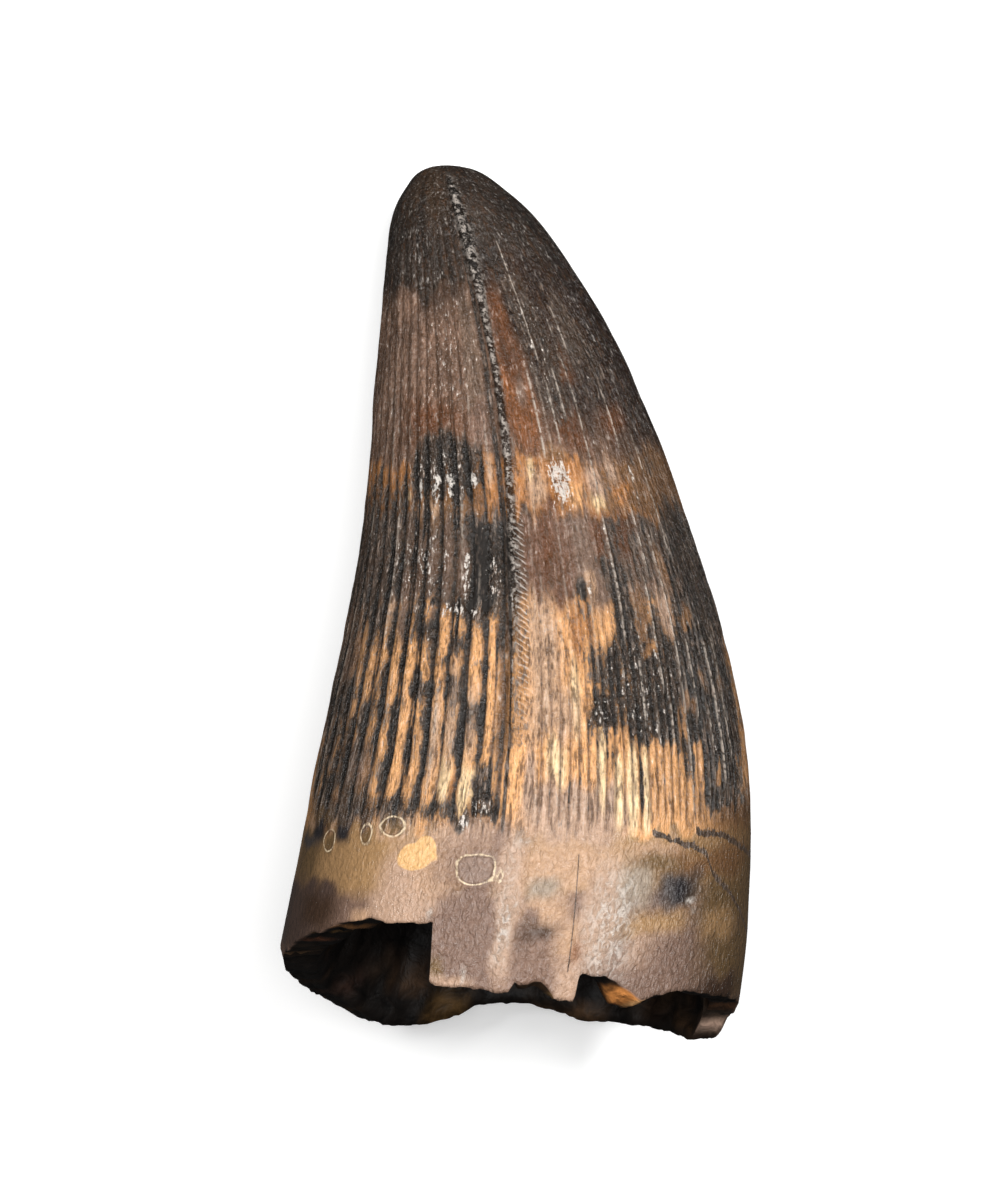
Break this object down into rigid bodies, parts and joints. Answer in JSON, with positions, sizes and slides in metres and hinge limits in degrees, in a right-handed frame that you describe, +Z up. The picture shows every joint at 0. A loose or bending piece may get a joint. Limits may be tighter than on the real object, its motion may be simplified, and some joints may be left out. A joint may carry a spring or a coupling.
{
  "type": "fossil deinosuchus tooth",
  "caption": "Curved, hollow, conical fossil reptile tooth lying on its side, with lengthwise enamel ridges, a keel along the top, a smooth root band and a chipped, broken base.",
  "frame": {"origin": "on the floor plane under the middle of the tooth's box, as it lies on its side", "axes": "+Y from the broken base to the tip, +X to the bulging outer side, +Z up, along the keel's side"},
  "size_m": [0.0194, 0.037, 0.0171],
  "materials": {
    "fossil": "semi-gloss, mottled black, brown and amber along the ridges, smooth tan to grey-brown root band"
  },
  "bodies": {
    "root": {"tooth": "fossil"}
  },
  "joints": []
}
